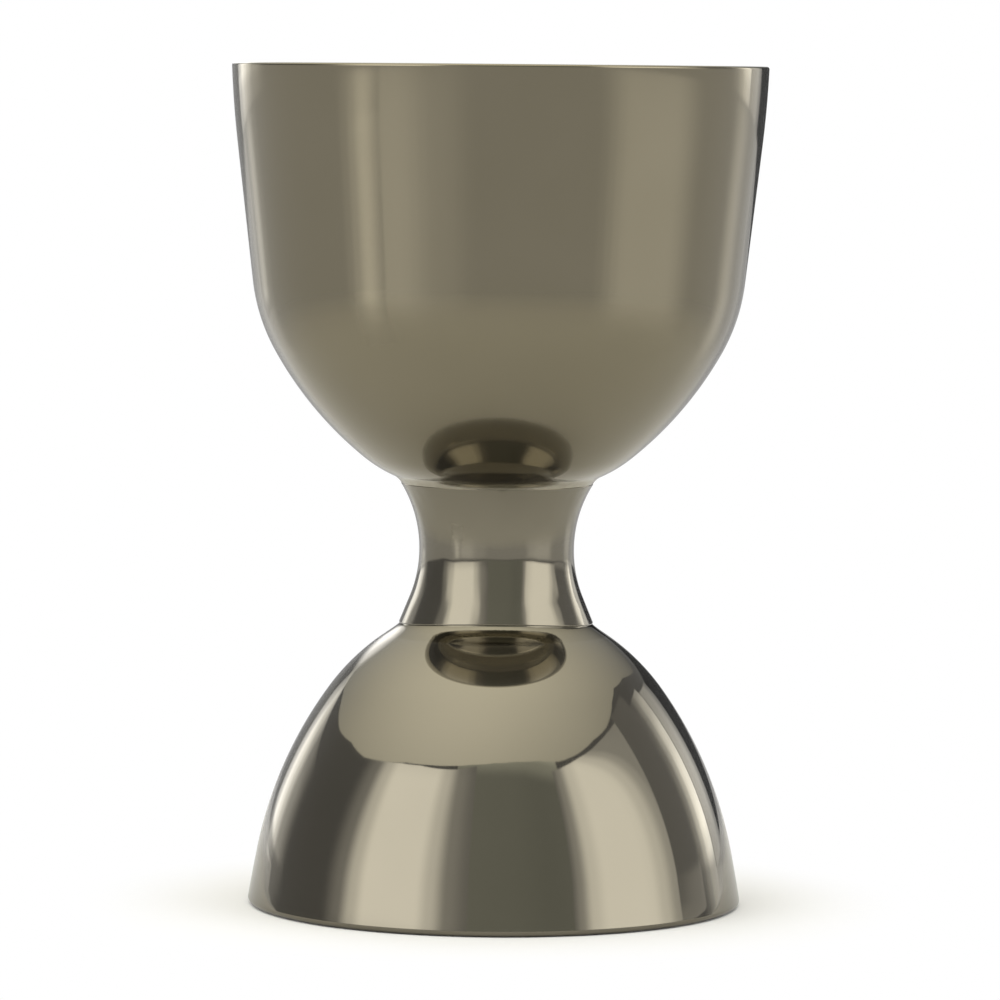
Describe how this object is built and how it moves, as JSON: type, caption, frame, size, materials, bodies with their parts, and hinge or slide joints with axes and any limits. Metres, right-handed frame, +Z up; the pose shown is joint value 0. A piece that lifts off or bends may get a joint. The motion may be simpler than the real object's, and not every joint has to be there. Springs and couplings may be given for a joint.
{
  "type": "bell jigger",
  "caption": "Bell jigger: a large and a small spirit measure of smoked polished steel, joined base to base by a waisted hollow collar.",
  "frame": {"origin": "centre of the small cup's rim, in the plane on which the jigger stands", "axes": "+Z up along the common axis, from the small cup's rim to the large cup's rim; X and Y are alike"},
  "size_m": [0.0524, 0.0524, 0.0824],
  "materials": {
    "satin_gunmetal": "satin",
    "mirror_gunmetal": "polished",
    "collar_gunmetal": "polished",
    "solder": "satin",
    "bare_steel": "satin"
  },
  "bodies": {
    "root": {"large_cup": "satin_gunmetal", "small_cup": "mirror_gunmetal", "neck_collar": "collar_gunmetal", "upper_solder_ring": "solder", "lower_solder_ring": "solder", "tie_stud": "bare_steel", "tie_nut": "bare_steel"}
  },
  "joints": []
}
